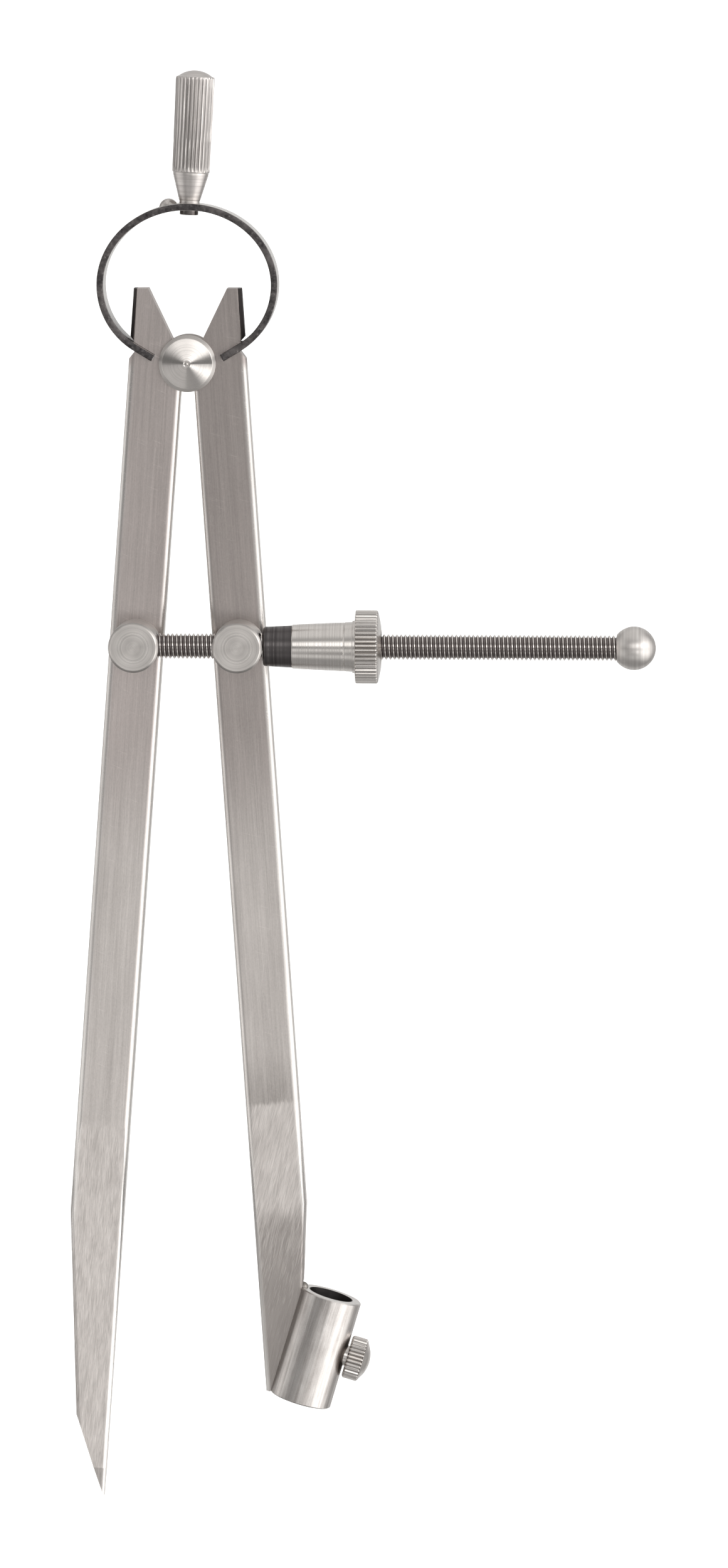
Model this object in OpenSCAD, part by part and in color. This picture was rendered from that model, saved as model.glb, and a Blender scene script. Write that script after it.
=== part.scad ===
// Bow-spring compass with a ground steel point and a pencil socket.
// All sizes are in millimetres. X points to the pencil side, -Y is the front, Z is up.
// The origin is the middle of the knurled grip; lengths below are measured from the fulcrum centre.

/* [Pose] */
// Angle of each leg from the centre line, in degrees
leg_angle = 4.06; // [3:0.01:5]

/* [Legs] */
// Width of a leg
leg_w = 12.8; // [12:0.1:13.5]
// Thickness of a leg
leg_t = 6; // [5.5:0.1:6.5]
// Radius along the long edges of a leg
leg_r = 1.4; // [1:0.1:2]
// Distance from the fulcrum axis plane to the middle of a leg
leg_cx = 7.5; // [7.4:0.05:7.7]
// Distance from the fulcrum to the steel point, along the leg
point_z = 273.2; // [268:0.1:276]
// Height of the horns above the fulcrum
horn_h = 16.9; // [15:0.1:18]
// Width of the bevel along the horns' outer edges
horn_bevel = 1; // [0.6:0.1:1.3]

/* [Fulcrum] */
// Radius of the roller that the legs bear on
roller_r = 3.5; // [3.2:0.1:3.8]
// Clearance between the roller and the notches
roller_gap = 0.05; // [0.02:0.01:0.1]
// Diameter of the two fulcrum discs
disc_d = 13.4; // [12.6:0.1:14]

/* [Bow spring] */
// Half width of the ring, outside
bow_a = 21.35; // [20.5:0.05:22]
// Height of the ring's upper half, outside
bow_b = 19.2; // [18.5:0.1:20]
// Height of the ring's widest line above the fulcrum
bow_z = 18.48; // [18:0.01:19]
// Radius of the ring's lower quarters, outside
bow_r = 18; // [17:0.1:18.5]
// Thickness of the strip
bow_t = 1.6; // [1.4:0.05:1.8]
// Depth of the strip, front to back
bow_y = 9.7; // [8:0.1:11]
// Slope of the straight ends, in degrees
end_slope = 31; // [30:0.5:32]
// Length of the straight ends
end_len = 4.6; // [4.2:0.1:4.8]

/* [Handle] */
// Lean of the handle, in degrees
handle_lean = 2.8; // [0:0.1:4]
// Diameter over the knurl
grip_d = 9.2; // [8.4:0.1:10]
// Length of the knurl
grip_len = 22.1; // [18:0.1:26]
// Number of flutes in the knurl
grip_flutes = 30; // [24:1:34]

/* [Studs and adjusting screw] */
// Distance from the fulcrum to a stud, along the leg
stud_z = 67; // [64:0.1:70]
// Diameter of a stud
stud_d = 11.8; // [11:0.1:12.4]
// Height of a stud in front of the leg
stud_h = 11.7; // [11:0.1:12.5]
// Major diameter of the screw
screw_d = 6; // [5.5:0.1:6]
// Pitch of the screw thread
pitch = 1; // [1:0.25:1.5]
// Distance from the centre line to the middle of the end ball
ball_x = 105.6; // [98:0.1:112]
// Diameter of the end ball
ball_d = 10.3; // [9.5:0.1:11]

/* [Adjusting nut] */
// Length of the dark nose
nose_len = 6.7; // [6:0.1:7.5]
// Length of the tapered hub
hub_len = 14.3; // [13:0.1:16]
// Diameter over the teeth of the wheel
wheel_d = 17.3; // [16:0.1:18]
// Width of the toothed rim
wheel_w = 5.4; // [4.5:0.1:6]
// Number of teeth
wheel_teeth = 50; // [40:1:60]

/* [Pencil socket] */
// Outer diameter of the tube
tube_d = 15; // [14.5:0.1:15]
// Bore of the tube
tube_bore = 10.5; // [9:0.1:11]
// Length of the tube
tube_len = 26.5; // [25:0.1:28]
// Diameter of the clamping screw
clamp_d = 5; // [4.5:0.1:5.5]
// Diameter of the clamping screw's head
clamp_head_d = 10.4; // [9.5:0.1:11]

/* [Hidden] */
$fn = 48;

// the grip's middle, seen from the fulcrum
grip_z0 = 56;
hb = [0.35, 0, bow_z + bow_b - 0.03];            // foot of the handle on the ring
grip_x0 = hb[0] + (grip_z0 - hb[2]) * tan(handle_lean);

leg_in = leg_cx - leg_w / 2;
leg_out = leg_cx + leg_w / 2;
tube_tilt = 20.4;                                 // tube axis against the leg
tube_m = [18.1, 0, -224.6];                       // middle of the tube's mouth, in the leg's frame
stud_x = leg_cx * cos(leg_angle) + stud_z * sin(leg_angle);
stud_zz = leg_cx * sin(leg_angle) - stud_z * cos(leg_angle);
face_y = leg_t / 2;
screw_y = -(face_y + 5.9);
disc_gap = 0.08;

// straight end of the strip, right-hand side
arc_c = [bow_a - bow_r, bow_z];
arc_e = arc_c + bow_r * [cos(90 - end_slope), -sin(90 - end_slope)];
end_o = arc_e - end_len * [cos(end_slope), sin(end_slope)];
end_i = end_o + bow_t * [-sin(end_slope), cos(end_slope)];
end_c = (end_o + end_i) / 2;
// the same point in the leg's own frame
end_l = [end_c[0] * cos(leg_angle) + end_c[1] * sin(leg_angle),
         -end_c[0] * sin(leg_angle) + end_c[1] * cos(leg_angle)];
slot_a = end_slope - leg_angle;

// radius of curvature at the top of the ring
top_r = bow_a * bow_a / bow_b;
top_c = bow_z + bow_b - top_r;

module org() { translate([-grip_x0, 0, -grip_z0]) children(); }
// 2D outline in X and Z, extruded to both sides of Y = 0
module slab(h) { rotate([90, 0, 0]) linear_extrude(height = h, center = true) children(); }
module rrect(w, t, r) {
    square([w - 2 * r, t], center = true);
    square([w, t - 2 * r], center = true);
    for (i = [-1, 1], j = [-1, 1]) translate([i * (w / 2 - r), j * (t / 2 - r)]) circle(r = r);
}
module on_leg() { rotate([0, -leg_angle, 0]) children(); }
module teeth(n, r, depth) {
    polygon([for (i = [0 : 2 * n - 1]) (i % 2 == 0 ? r : r - depth) * [cos(i * 180 / n), sin(i * 180 / n)]]);
}

// ---------- legs ----------
// Straight bar with rounded long edges; its outer edge turns inwards below the kink.
module leg_bar(kink, taper) {
    intersection() {
        translate([leg_cx, 0, -280]) linear_extrude(height = 283.4) rrect(leg_w, leg_t, leg_r);
        translate([leg_out, 0, -kink]) rotate([0, taper, 0])
            translate([-40, 0, -90]) linear_extrude(height = 320) rrect(80, leg_t, leg_r);
    }
    // horn, bevelled along its outer edges
    translate([0, 0, 3]) linear_extrude(height = 16)
        polygon([[leg_in, -face_y], [leg_out - horn_bevel, -face_y], [leg_out, -face_y + horn_bevel],
                 [leg_out, face_y - horn_bevel], [leg_out - horn_bevel, face_y], [leg_in, face_y]]);
}
module leg_cuts() {
    // half-round notch for the fulcrum roller
    rotate([90, 0, 0]) cylinder(r = roller_r + roller_gap, h = 20, center = true);
    // hole for the stud's shank
    translate([leg_cx, 0, -stud_z]) rotate([90, 0, 0]) cylinder(r = 3.55, h = 20, center = true);
    // slot for the strip's end, with eased lips
    translate([end_l[0], 0, end_l[1]]) rotate([0, -slot_a, 0])
        translate([-0.2, -5, -bow_t / 2 - 0.06]) cube([14, 10, bow_t + 0.16]);
    slab(20) polygon([[leg_out - 1.3, 1.98], [leg_out + 1, 3.2], [leg_out + 1, -0.9], [leg_out, 0.1]]);
    slab(20) polygon([[leg_out - 1.2, 4.2], [leg_out + 1, 6.3], [leg_out + 1, 4.4]]);
}
horn_line = [[0, -1.5], [1.1, 0.43], [10.55, horn_h + 0.1], [14.6, horn_h - 0.19]];
module left_leg_blank() {
    difference() {
        intersection() {
            leg_bar(204, 5.5);
            slab(20) polygon(concat(horn_line, [[14.6, -239.4], [9.2, -point_z + 20], [1.35, -point_z], [0.4, -point_z + 2.4], [0, -point_z + 2.4]]));
            // ground faces, thinner towards the point
            rotate([90, 0, 90]) linear_extrude(height = 40, center = true)
                polygon([[-face_y, 25], [-face_y, -182], [-1.5, -266], [-0.1, -point_z - 0.5],
                         [0.1, -point_z - 0.5], [1.5, -266], [face_y, -182], [face_y, 25]]);
        }
        leg_cuts();
    }
}
module right_leg_blank() {
    u = [-sin(tube_tilt), -cos(tube_tilt)];
    v = [-cos(tube_tilt), sin(tube_tilt)];
    m = [tube_m[0], tube_m[2]];
    a = m + 5.5 * v;
    b = a + tube_len * u;
    c = m + tube_len * u + 18 * v;
    difference() {
        intersection() {
            leg_bar(202, 6.2);
            slab(20) polygon(concat(horn_line, [[14.6, -221.9], [a[0] + 0.3, -221.9], b, c]));
            rotate([90, 0, 90]) linear_extrude(height = 60, center = true)
                polygon([[-face_y, 25], [-face_y, -178], [-2.85, -205], [-1.9, -251], [1.9, -251], [2.85, -205], [face_y, -178], [face_y, 25]]);
        }
        leg_cuts();
        translate(tube_m) rotate([0, tube_tilt, 0]) translate([0, 0, -40]) cylinder(d = tube_d + 0.03, h = 50);
    }
}
module left_leg() { color([0.66, 0.64, 0.62]) org() mirror([1, 0, 0]) on_leg() left_leg_blank(); }
module right_leg() { color([0.66, 0.64, 0.62]) org() on_leg() right_leg_blank(); }

// ---------- bow spring ----------
N1 = 24; // points on a lower quarter
N2 = 48; // points on the upper half, each side
function arc_n(i) = let (t = -(90 - end_slope) * (1 - i / N1)) [cos(t), sin(t)];
function ell_p(t) = [bow_a * cos(t), bow_z + bow_b * sin(t)];
function ell_n(t) = let (n = [cos(t) / bow_a, sin(t) / bow_b]) n / norm(n);
// one half, from the strip's end up to the top, at a depth d below the outer face
function half(d) = concat(
    [end_o + d * [-sin(end_slope), cos(end_slope)]],
    [for (i = [0 : N1]) arc_c + (bow_r - d) * arc_n(i)],
    [for (i = [1 : N2]) ell_p(90 * i / N2) - d * ell_n(90 * i / N2)]);
function flipx(p) = [for (i = [len(p) - 2 : -1 : 0]) [-p[i][0], p[i][1]]];
function loop(d) = concat(half(d), flipx(half(d)));
function rev(p) = [for (i = [len(p) - 1 : -1 : 0]) p[i]];
rivet_t = 180 - acos(4.7 / bow_a);
module at_rivet() {
    p = ell_p(rivet_t);
    n = ell_n(rivet_t);
    translate([p[0], 0, p[1]]) rotate([0, atan2(n[0], n[1]), 0]) children();
}
module at_handle() { translate(hb) rotate([0, handle_lean, 0]) children(); }
module ring_round(r) { translate([0, 0, top_c]) rotate([90, 0, 0]) cylinder(r = r, h = 30, center = true, $fn = 96); }

module bow_spring() {
    color([0.36, 0.35, 0.35]) org() difference() {
        slab(bow_y) polygon(concat(loop(0), rev(loop(bow_t))));
        at_handle() translate([0, 0, -5]) cylinder(r = 1.53, h = 10);
        at_rivet() translate([0, 0, -5]) cylinder(r = 1.02, h = 10);
    }
}
module side_rivet() {
    R = (2.15 * 2.15 + 1.5 * 1.5) / 3;
    color([0.7, 0.68, 0.66]) org() {
        difference() {
            at_rivet() intersection() {
                translate([0, 0, 1.5 - R]) sphere(r = R);
                translate([0, 0, -1]) cylinder(r = 2.15, h = 4);
            }
            ring_round(top_r + 0.02);
        }
        at_rivet() translate([0, 0, -bow_t + 0.05]) cylinder(r = 1, h = bow_t + 0.3);
    }
}

// ---------- handle ----------
module handle() {
    h0 = 7.3;
    r = grip_d / 2;
    color([0.74, 0.73, 0.71]) org() difference() {
        at_handle() {
            rotate_extrude() polygon([[0, -0.6], [2.4, -0.6], [2.4, 0.55], [4.2, 6.7], [4.2, h0 - 0.05], [r - 0.15, h0], [r - 0.15, h0 + 0.5], [0, h0 + 0.5]]);
            intersection() {
                translate([0, 0, h0]) linear_extrude(height = grip_len) difference() {
                    circle(r = r, $fn = 96);
                    for (i = [0 : grip_flutes - 1]) rotate(i * 360 / grip_flutes) translate([r + 0.16, 0]) circle(r = 0.38, $fn = 20);
                }
                rotate_extrude() polygon([[0, h0], [r - 0.25, h0], [r + 0.05, h0 + 0.3], [r + 0.05, h0 + grip_len], [0, h0 + grip_len]]);
            }
            intersection() {
                translate([0, 0, h0 + grip_len + 1.75 - 6.5]) sphere(r = 6.5, $fn = 96);
                translate([0, 0, h0 + grip_len - 0.3]) cylinder(r = r - 0.12, h = 4);
            }
        }
        ring_round(top_r + 0.01);
        at_handle() translate([0, 0, -1]) cylinder(r = 1.5, h = 6.5);
    }
}
module handle_rivet() {
    color([0.62, 0.6, 0.58]) org() {
        intersection() {
            at_handle() translate([0, 0, -bow_t - 1.2]) rotate_extrude() polygon([[0, 0], [2.05, 0], [2.2, 0.15], [2.2, 2], [0, 2]]);
            ring_round(top_r - bow_t - 0.02);
        }
        at_handle() translate([0, 0, -bow_t - 0.6]) cylinder(r = 1.49, h = bow_t + 5.5);
    }
}

// ---------- fulcrum ----------
module fulcrum_front_disc() {
    y0 = face_y + disc_gap;
    r = disc_d / 2;
    color([0.78, 0.77, 0.74]) org() rotate([90, 0, 0]) rotate_extrude($fn = 96)
        polygon([[0, -y0 - 2.1], [1.9, -y0 - 2.1], [2.3, -y0 - 1.5], [2, -y0 - 1.5], [2, y0], [r, y0], [r, y0 + 0.7], [r - 0.8, y0 + 1.2],
                 [0.85, y0 + 2.35], [0.6, y0 + 2.25], [0.4, y0 + 2.25], [0.3, y0 + 2.5], [0, y0 + 2.6]]);
}
module fulcrum_roller() {
    h = 2 * (face_y + disc_gap) - 0.04;
    color([0.6, 0.58, 0.56]) org() rotate([90, 0, 0]) difference() {
        cylinder(r = roller_r, h = h, center = true);
        cylinder(r = 2.03, h = h + 2, center = true);
    }
}
module fulcrum_rear_disc() {
    r = disc_d / 2;
    color([0.7, 0.68, 0.66]) org() translate([0, face_y + disc_gap, 0]) rotate([-90, 0, 0]) difference() {
        rotate_extrude($fn = 96) polygon([[0, 0], [r, 0], [r, 0.8], [r - 0.35, 1.1], [3.2, 1.45], [0, 1.45]]);
        translate([0, 0, -1]) cylinder(r = 2.03, h = 5);
    }
}

// ---------- studs ----------
module at_stud(side) { translate([side * stud_x, 0, stud_zz]) rotate([90, 0, 0]) children(); }
module stud_body() {
    r = stud_d / 2;
    top = face_y + stud_h;
    rotate_extrude($fn = 96) polygon([[0, -5.2], [2.3, -5.2], [3.1, -4.8], [3.1, -4.4], [2.5, -4.4], [2.5, -3.08], [3.5, -3.08], [3.5, 3.08],
        [r, 3.08], [r, top - 0.5], [r - 0.55, top], [0, top]]);
}
module left_stud() {
    color([0.8, 0.79, 0.77]) org() at_stud(-1) difference() {
        stud_body();
        translate([-4.5, 0, -screw_y]) rotate([0, 90, 0]) cylinder(d = screw_d + 0.02, h = 20);
    }
}
module right_stud() {
    color([0.8, 0.79, 0.77]) org() at_stud(1) difference() {
        stud_body();
        translate([-10, 0, -screw_y]) rotate([0, 90, 0]) cylinder(r = 3.2, h = 20);
    }
}
module stud_washer() {
    translate([0, 0, -4.38]) difference() {
        rotate_extrude() polygon([[0, 0.25], [5.2, 0], [5.5, 0.25], [5.5, 1.3], [0, 1.3]]);
        translate([0, 0, -1]) cylinder(r = 2.51, h = 4);
        translate([0, 0, -1]) cylinder(r = 3.12, h = 1.0);
    }
}
module left_stud_washer() { color([0.7, 0.68, 0.66]) org() at_stud(-1) stud_washer(); }
module right_stud_washer() { color([0.7, 0.68, 0.66]) org() at_stud(1) stud_washer(); }

// ---------- adjusting screw ----------
module on_screw() { translate([0, screw_y, stud_zz]) rotate([0, 90, 0]) children(); }
ball_flat = sqrt(pow(ball_d / 2, 2) - pow(3.1, 2));
module adjusting_screw() {
    r = screw_d / 2;
    x0 = -stud_x - 4.45;
    x1 = -stud_x + 6.4;
    x2 = ball_x - ball_flat - 0.6;
    n = floor((x2 - x1) / pitch);
    color([0.72, 0.71, 0.69]) org() on_screw() rotate_extrude()
        polygon(concat([[0, x0], [r - 0.3, x0], [r, x0 + 0.3], [r, x1 - 0.4]],
            [for (i = [0 : 2 * n]) [i % 2 == 0 ? r - 0.58 * pitch : r, x1 + i * pitch / 2]],
            [[r - 0.5, x2], [2.5, ball_x + 2], [0, ball_x + 2]]));
}
module end_ball() {
    color([0.78, 0.77, 0.75]) org() on_screw() difference() {
        translate([0, 0, ball_x]) sphere(d = ball_d, $fn = 96);
        translate([0, 0, ball_x - ball_flat - 5]) cylinder(r = 8, h = 5);
        translate([0, 0, ball_x - 8]) cylinder(r = 2.51, h = 10.05);
    }
}

// ---------- adjusting nut ----------
nut_x = stud_x + stud_d / 2 + 0.1;
hub_x = nut_x + nose_len;
rim_x = hub_x + hub_len + 0.75;
nut_end = rim_x + wheel_w + 0.95;
module nut_core() {
    color([0.13, 0.12, 0.12]) org() on_screw() difference() {
        rotate_extrude($fn = 96) polygon([[0, nut_x], [4.3, nut_x], [4.65, nut_x + 0.4], [4.98, hub_x], [4.2, hub_x], [4.2, nut_end - 0.6], [4, nut_end - 0.4], [0, nut_end - 0.4]]);
        translate([0, 0, nut_x - 5]) cylinder(d = screw_d + 0.1, h = 45);
        // countersinks where the screw enters and leaves
        translate([0, 0, nut_x - 0.5]) cylinder(r1 = 3.9, r2 = 2.9, h = 1);
        translate([0, 0, nut_end - 0.9]) cylinder(r1 = 2.9, r2 = 3.9, h = 1);
    }
}
module nut_sleeve() {
    r = wheel_d / 2;
    color([0.78, 0.77, 0.75]) org() on_screw() difference() {
        union() {
            rotate_extrude($fn = 96) polygon([[0, hub_x + 0.03], [5, hub_x + 0.03], [5.2, hub_x + 0.2], [5.92, hub_x + hub_len],
                [6.2, hub_x + hub_len], [6.2, rim_x + 1], [0, rim_x + 1]]);
            intersection() {
                translate([0, 0, rim_x]) linear_extrude(height = wheel_w) teeth(wheel_teeth, r, 0.5);
                rotate_extrude($fn = 96) polygon([[0, rim_x - 0.1], [r - 0.25, rim_x - 0.1], [r + 0.05, rim_x + 0.2], [r + 0.05, rim_x + wheel_w - 0.4],
                    [r - 0.57, rim_x + wheel_w + 0.1], [0, rim_x + wheel_w + 0.1]]);
            }
            // domed outer face
            rotate_extrude($fn = 96) intersection() {
                translate([0, nut_end - 34]) circle(r = 34, $fn = 240);
                translate([0, rim_x + wheel_w - 0.3]) square([r - 0.8, 3]);
            }
        }
        translate([0, 0, hub_x - 5]) cylinder(r = 4.21, h = 45);
    }
}

// ---------- pencil socket ----------
module at_tube() { on_leg() translate(tube_m) rotate([0, tube_tilt, 0]) children(); }
module at_clamp() { at_tube() translate([0, 0, -13.2]) rotate([0, 90, 0]) children(); }
module pencil_tube() {
    color([0.72, 0.71, 0.69]) org() difference() {
        at_tube() translate([0, 0, -tube_len]) difference() {
            rotate_extrude($fn = 96) polygon([[0, 0], [tube_d / 2 - 0.3, 0], [tube_d / 2, 0.3], [tube_d / 2, tube_len - 0.25],
                [tube_d / 2 - 0.25, tube_len], [0, tube_len]]);
            translate([0, 0, -1]) cylinder(d = tube_bore, h = tube_len + 2, $fn = 96);
        }
        at_clamp() cylinder(d = clamp_d + 0.06, h = 20);
    }
}
module braze_bead() {
    color([0.7, 0.66, 0.6]) org() on_leg() difference() {
        translate([11.6, 0, -222.25]) rotate([0, tube_tilt, 0]) rotate([90, 0, 0]) rotate_extrude() translate([0, 0]) intersection() {
            square([3, 1.5], center = false);
            circle(r = 1.2);
        }
        right_leg_blank();
        translate(tube_m) rotate([0, tube_tilt, 0]) translate([0, 0, -40]) cylinder(d = tube_d + 0.02, h = 40.02);
    }
}
clamp_seat = tube_d / 2 + 0.4;
module clamp_screw_shank() {
    color([0.7, 0.69, 0.67]) org() at_clamp() rotate_extrude()
        polygon([[0, tube_bore / 2 + 0.03], [clamp_d / 2 - 0.4, tube_bore / 2 + 0.06], [clamp_d / 2, tube_bore / 2 + 0.5],
                 [clamp_d / 2, clamp_seat - 0.02], [clamp_d / 2 - 0.7, clamp_seat], [clamp_d / 2 - 0.7, clamp_seat + 2.4], [0, clamp_seat + 2.4]]);
}
module clamp_screw_head() {
    r = clamp_head_d / 2;
    color([0.76, 0.75, 0.73]) org() at_clamp() difference() {
        union() {
            intersection() {
                translate([0, 0, clamp_seat]) linear_extrude(height = 3.9) teeth(32, r, 0.35);
                translate([0, 0, clamp_seat]) rotate_extrude() polygon([[0, 0], [r - 0.4, 0], [r + 0.02, 0.3], [r + 0.02, 3.65], [r - 0.3, 3.9], [0, 3.9]]);
            }
            translate([0, 0, clamp_seat + 3.65]) rotate_extrude() intersection() {
                translate([0, 1.9 - 7.3]) circle(r = 7.3, $fn = 96);
                square([r - 0.36, 3]);
            }
        }
        translate([0, 0, clamp_seat - 1]) cylinder(r = clamp_d / 2 - 0.69, h = 3.45);
    }
}

bow_spring();
handle();
handle_rivet();
side_rivet();
fulcrum_front_disc();
fulcrum_roller();
fulcrum_rear_disc();
left_leg();
left_stud();
left_stud_washer();
adjusting_screw();
end_ball();
right_leg();
pencil_tube();
braze_bead();
right_stud();
right_stud_washer();
nut_core();
nut_sleeve();
clamp_screw_shank();
clamp_screw_head();
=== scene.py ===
import bpy, bmesh, math
from mathutils import Matrix, Vector


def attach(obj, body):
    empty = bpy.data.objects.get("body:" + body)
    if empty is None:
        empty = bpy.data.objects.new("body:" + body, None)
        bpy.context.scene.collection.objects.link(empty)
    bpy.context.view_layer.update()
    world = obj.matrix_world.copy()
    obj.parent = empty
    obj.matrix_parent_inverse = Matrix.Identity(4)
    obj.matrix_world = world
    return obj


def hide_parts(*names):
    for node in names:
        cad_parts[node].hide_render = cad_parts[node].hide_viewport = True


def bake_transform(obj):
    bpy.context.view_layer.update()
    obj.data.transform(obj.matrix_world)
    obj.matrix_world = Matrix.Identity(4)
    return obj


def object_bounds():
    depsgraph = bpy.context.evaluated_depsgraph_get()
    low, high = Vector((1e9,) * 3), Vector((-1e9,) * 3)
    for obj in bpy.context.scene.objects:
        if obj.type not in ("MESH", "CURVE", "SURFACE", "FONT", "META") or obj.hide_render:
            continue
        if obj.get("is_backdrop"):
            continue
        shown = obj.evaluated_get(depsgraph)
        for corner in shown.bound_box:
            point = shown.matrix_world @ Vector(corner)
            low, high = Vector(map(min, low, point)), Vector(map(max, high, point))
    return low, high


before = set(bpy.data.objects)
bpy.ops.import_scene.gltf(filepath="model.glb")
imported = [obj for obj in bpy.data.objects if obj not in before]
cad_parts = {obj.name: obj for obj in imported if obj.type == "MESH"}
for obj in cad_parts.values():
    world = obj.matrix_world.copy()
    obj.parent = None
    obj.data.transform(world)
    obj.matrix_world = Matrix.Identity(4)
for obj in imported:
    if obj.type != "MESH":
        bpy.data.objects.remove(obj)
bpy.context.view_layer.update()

# ------------------------------------------------------------------ frame numbers
# Sizes below are in millimetres seen from the fulcrum's centre; P() turns them into the row frame.
LEAN = math.radians(2.8)
ANG = math.radians(4.06)
GZ = 56.0
HB = (0.35, 0.0, 18.48 + 19.2 - 0.03)
GX = HB[0] + (GZ - HB[2]) * math.tan(LEAN)


def P(x, y, z):
    return Vector(((x - GX) / 1000, y / 1000, (z - GZ) / 1000))


def legp(x, y, z, side=1):
    """A point in a leg's own frame, side 1 the pencil leg and -1 the point leg."""
    X = x * math.cos(ANG) - z * math.sin(ANG)
    Z = x * math.sin(ANG) + z * math.cos(ANG)
    return (side * X, y, Z)


STUD_X, _, STUD_Z = legp(7.5, 0, -67)
SCREW_Y = -8.9
LEG_CX, LEG_W = 7.5, 12.8
BALL_X = 105.6
TT = math.radians(20.4)
TUBE_A = TT - ANG                               # lean of the tube in the row frame
MOUTH = legp(18.1, 0, -224.6)
TUBE_UP = Vector((math.sin(TUBE_A), 0, math.cos(TUBE_A)))
TUBE_OUT = Vector((math.cos(TUBE_A), 0, -math.sin(TUBE_A)))
NUT_X = STUD_X + 5.9 + 0.1
HUB_X = NUT_X + 6.7
RIM_X = HUB_X + 14.3 + 0.75
NUT_END = RIM_X + 5.4 + 0.95


def axes(origin, zdir, xdir=None):
    """Matrix of a local frame in metres from an origin in mm and its Z direction; local units are millimetres."""
    z = Vector(zdir).normalized()
    x = Vector(xdir) if xdir is not None else (Vector((0, 1, 0)) if abs(z.y) < 0.9 else Vector((1, 0, 0)))
    x = (x - z * x.dot(z)).normalized()
    y = z.cross(x)
    o = P(*origin)
    m = Matrix(((x.x, y.x, z.x, 0), (x.y, y.y, z.y, 0), (x.z, y.z, z.z, 0), (0, 0, 0, 1)))
    m = m @ Matrix.Scale(0.001, 4)
    m.translation = o
    return m


# ------------------------------------------------------------------ mesh helpers
def finish_mesh(name, bm, mat, smooth=35):
    bmesh.ops.remove_doubles(bm, verts=bm.verts, dist=1e-7)
    bmesh.ops.recalc_face_normals(bm, faces=bm.faces)
    me = bpy.data.meshes.new(name)
    bm.to_mesh(me)
    bm.free()
    ob = bpy.data.objects.new(name, me)
    bpy.context.scene.collection.objects.link(ob)
    me.materials.append(mat)
    for p in me.polygons:
        p.use_smooth = True
    if smooth is not None:
        me.set_sharp_from_angle(angle=math.radians(smooth))
    return ob


def round_profile(pts, r=0.12, seg=3):
    """Rounds the corners of a profile of (radius, height[, corner radius]) points."""
    out = []
    n = len(pts)
    for i, p in enumerate(pts):
        if i in (0, n - 1):
            out.append((p[0], p[1]))
            continue
        rr = p[2] if len(p) > 2 else r
        a = Vector((pts[i - 1][0] - p[0], pts[i - 1][1] - p[1]))
        b = Vector((pts[i + 1][0] - p[0], pts[i + 1][1] - p[1]))
        k = min(rr, a.length * 0.45, b.length * 0.45)
        if k < 1e-4:
            out.append((p[0], p[1]))
            continue
        c = Vector((p[0], p[1]))
        s, e = c + a.normalized() * k, c + b.normalized() * k
        for j in range(seg + 1):
            t = j / seg
            q = s * (1 - t) ** 2 + c * 2 * t * (1 - t) + e * t * t
            out.append((q.x, q.y))
    return out


def lathe(name, profile, m, mat, n=96, mod=None, closed=False, smooth=35):
    """Surface of revolution about local Z. profile: (radius, height) from one end to the other, or a closed loop.
    mod(radius, height, angle) gives the real radius at an angle."""
    bm = bmesh.new()
    rings = []
    for r, h in profile:
        if r < 1e-6:
            rings.append([bm.verts.new(m @ Vector((0, 0, h)))])
            continue
        ring = []
        for j in range(n):
            a = 2 * math.pi * j / n
            rr = mod(r, h, a) if mod else r
            ring.append(bm.verts.new(m @ Vector((rr * math.cos(a), rr * math.sin(a), h))))
        rings.append(ring)
    pairs = list(zip(rings[:-1], rings[1:]))
    if closed:
        pairs.append((rings[-1], rings[0]))
    for A, B in pairs:
        for j in range(n):
            k = (j + 1) % n
            if len(A) == 1 and len(B) == 1:
                continue
            if len(A) == 1:
                bm.faces.new((A[0], B[j], B[k]))
            elif len(B) == 1:
                bm.faces.new((A[j], A[k], B[0]))
            else:
                bm.faces.new((A[j], A[k], B[k], B[j]))
    return finish_mesh(name, bm, mat, smooth)


# ------------------------------------------------------------------ materials
def new_mat(name):
    mt = bpy.data.materials.new(name)
    mt.use_nodes = True
    nt = mt.node_tree
    nt.nodes.clear()
    return mt, nt, nt.nodes, nt.links


def ramp(ns, pts):
    r = ns.new("ShaderNodeValToRGB")
    e = r.color_ramp.elements
    while len(e) > 1:
        e.remove(e[-1])
    e[0].position, e[0].color = pts[0][0], (*pts[0][1], 1)
    for p, c in pts[1:]:
        k = e.new(p)
        k.color = (*c, 1)
    return r


def math_node(ns, ln, op, a, b=None, c=None, clamp=False):
    n = ns.new("ShaderNodeMath")
    n.operation = op
    n.use_clamp = clamp
    for i, v in enumerate((a, b, c)):
        if v is None:
            continue
        if isinstance(v, (int, float)):
            n.inputs[i].default_value = v
        else:
            ln.new(v, n.inputs[i])
    return n.outputs[0]


def noise(ns, ln, vec, scale=1.0, detail=4.0, rough=0.55, dist=0.0):
    n = ns.new("ShaderNodeTexNoise")
    n.inputs["Scale"].default_value = scale
    n.inputs["Detail"].default_value = detail
    n.inputs["Roughness"].default_value = rough
    n.inputs["Distortion"].default_value = dist
    ln.new(vec, n.inputs["Vector"])
    return n.outputs["Fac"]


def mapped(ns, ln, loc=(0, 0, 0), rot=(0, 0, 0), size=(1, 1, 1)):
    """Object coordinates in a turned frame, divided by a feature size in mm."""
    tc = ns.new("ShaderNodeTexCoord")
    mp = ns.new("ShaderNodeMapping")
    mp.vector_type = "TEXTURE"
    mp.inputs["Location"].default_value = loc
    mp.inputs["Rotation"].default_value = rot
    mp.inputs["Scale"].default_value = tuple(s / 1000 for s in size)
    ln.new(tc.outputs["Object"], mp.inputs["Vector"])
    return mp.outputs["Vector"]


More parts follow.
